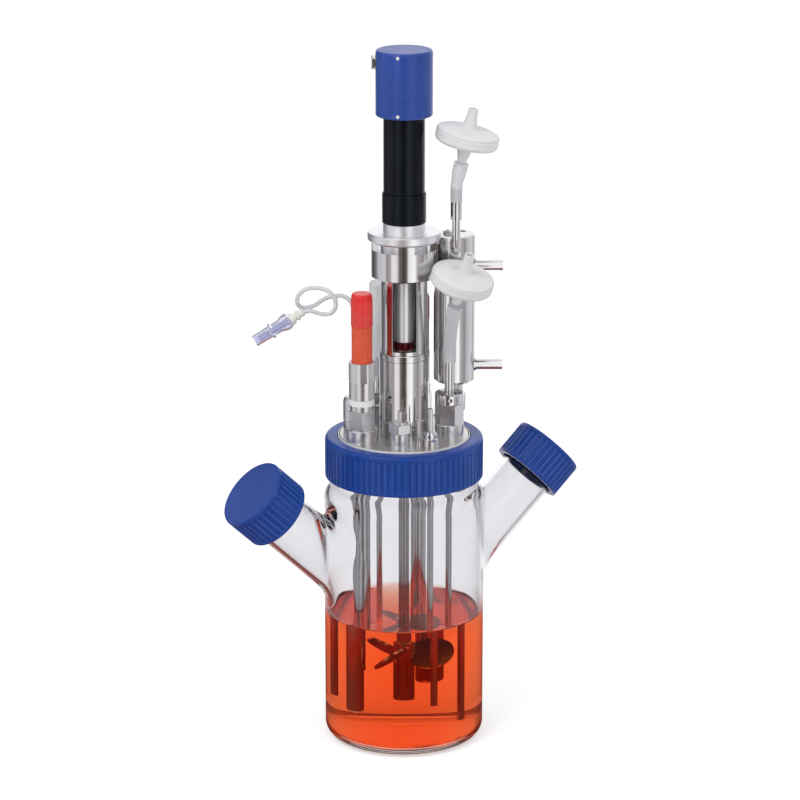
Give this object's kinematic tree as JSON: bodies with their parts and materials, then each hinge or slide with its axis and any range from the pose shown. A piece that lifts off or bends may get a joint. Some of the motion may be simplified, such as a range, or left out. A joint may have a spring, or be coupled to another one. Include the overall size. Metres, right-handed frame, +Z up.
{
  "type": "bench bioreactor",
  "caption": "Bench bioreactor: flat-based glass vessel with slanted side arms, clamped steel head plate, overhead stirrer drive, probes, gas filters and exhaust condenser.",
  "frame": {"origin": "centre of the vessel's flat base, where it stands on the bench", "axes": "+Z up along the vessel and stirrer axis, the two side arms lie along -X and +X, the hoses of the condenser leave between +X and -Y"},
  "size_m": [0.285, 0.12, 0.518],
  "materials": {
    "glass": "gloss",
    "medium": "gloss",
    "blue_plastic": "satin",
    "hood_blue": "satin",
    "polished_steel": "polished",
    "turned_steel": "satin",
    "plate_steel": "satin",
    "aluminium_satin": "satin",
    "black_anodised": "satin",
    "shaft_steel": "polished",
    "bearing_steel": "polished",
    "white_seal": "satin",
    "white_ptfe": "satin",
    "white_ring": "satin",
    "black_rubber": "matte",
    "red_elastomer": "matte",
    "orange_plastic": "satin",
    "red_plastic": "satin",
    "dark_red_plastic": "satin",
    "dark_plastic": "satin",
    "silicone": "satin",
    "filter_white": "satin",
    "connector_white": "satin",
    "lavender_plastic": "gloss",
    "blue_insert": "satin",
    "screw_white": "satin"
  },
  "bodies": {
    "reactor": {"glass_vessel": "glass", "side_arms": "glass", "culture_medium": "medium", "head_plate": "plate_steel", "vessel_seal": "white_seal", "bearing_housing": "plate_steel", "shaft_bearings": "bearing_steel", "shaft_seal": "black_rubber", "coupling_sleeve": "plate_steel", "coupling_nut": "turned_steel", "drive_flange": "aluminium_satin", "motor_collar": "black_anodised", "motor_body": "black_anodised", "motor_cap": "hood_blue", "motor_screws": "screw_white", "motor_socket": "polished_steel", "probe_adapter": "turned_steel", "probe_nut": "polished_steel", "probe_washer": "white_ptfe", "probe_collar": "polished_steel", "probe_shaft": "polished_steel", "probe_head": "orange_plastic", "probe_cap": "red_plastic", "rear_fitting": "turned_steel", "rear_probe": "polished_steel", "rear_probe_head": "dark_plastic", "rear_probe_cap": "dark_red_plastic", "sample_fitting": "turned_steel", "sample_tube": "polished_steel", "sample_line": "silicone", "line_connector": "connector_white", "access_valve": "lavender_plastic", "valve_stem": "blue_insert", "inlet_adapter": "turned_steel", "inlet_nut": "polished_steel", "inlet_collar": "turned_steel", "sparger_tube": "polished_steel", "inlet_sleeve": "silicone", "inlet_filter": "filter_white", "condenser_fitting": "turned_steel", "condenser": "polished_steel", "exhaust_tube": "polished_steel", "exhaust_sleeve": "silicone", "exhaust_filter": "filter_white", "front_fitting": "polished_steel", "feed_tube": "polished_steel", "vent_tube": "polished_steel", "rear_tube": "polished_steel", "rear_sleeve": "silicone"},
    "stirrer": {"motor_shaft": "shaft_steel", "coupling_hubs": "aluminium_satin", "coupling_spider": "red_elastomer", "stirrer_shaft": "shaft_steel", "impeller": "shaft_steel"},
    "left_liner": {"left_cap_seal": "white_seal"},
    "left_screw_cap": {"left_cap": "blue_plastic"},
    "right_liner": {"right_cap_seal": "white_seal"},
    "right_screw_cap": {"right_cap": "blue_plastic"},
    "ring_slip": {"slip_ring": "white_ring"},
    "ring": {"clamp_ring": "blue_plastic"}
  },
  "joints": [
    {"name": "stirrer_turn", "type": "hinge", "parent": "reactor", "child": "stirrer", "pos_m": [0, 0, 0.2], "axis": [0, 0, 1], "continuous": true},
    {"name": "left_cap_rise", "type": "slide", "parent": "reactor", "child": "left_liner", "axis": [-0.7254, 0, 0.6884], "range_m": [0, 0.0061]},
    {"name": "left_cap_turn", "type": "hinge", "parent": "left_liner", "child": "left_screw_cap", "pos_m": [-0.11243, 0, 0.19419], "axis": [-0.7254, 0, 0.6884], "range_deg": [0, 540]},
    {"name": "right_cap_rise", "type": "slide", "parent": "reactor", "child": "right_liner", "axis": [0.7254, 0, 0.6884], "range_m": [0, 0.0061]},
    {"name": "right_cap_turn", "type": "hinge", "parent": "right_liner", "child": "right_screw_cap", "pos_m": [0.11243, 0, 0.19419], "axis": [0.7254, 0, 0.6884], "range_deg": [0, 540]},
    {"name": "ring_rise", "type": "slide", "parent": "reactor", "child": "ring_slip", "axis": [0, 0, 1], "range_m": [0, 0.0051]},
    {"name": "ring_turn", "type": "hinge", "parent": "ring_slip", "child": "ring", "pos_m": [0, 0, 0.215], "axis": [0, 0, 1], "range_deg": [0, 360]}
  ],
  "couplings": [
    {"joint": "left_cap_rise", "follows": "left_cap_turn", "m_per_rad": 0.00063662},
    {"joint": "right_cap_rise", "follows": "right_cap_turn", "m_per_rad": 0.00063662},
    {"joint": "ring_rise", "follows": "ring_turn", "m_per_rad": 0.00079577}
  ]
}
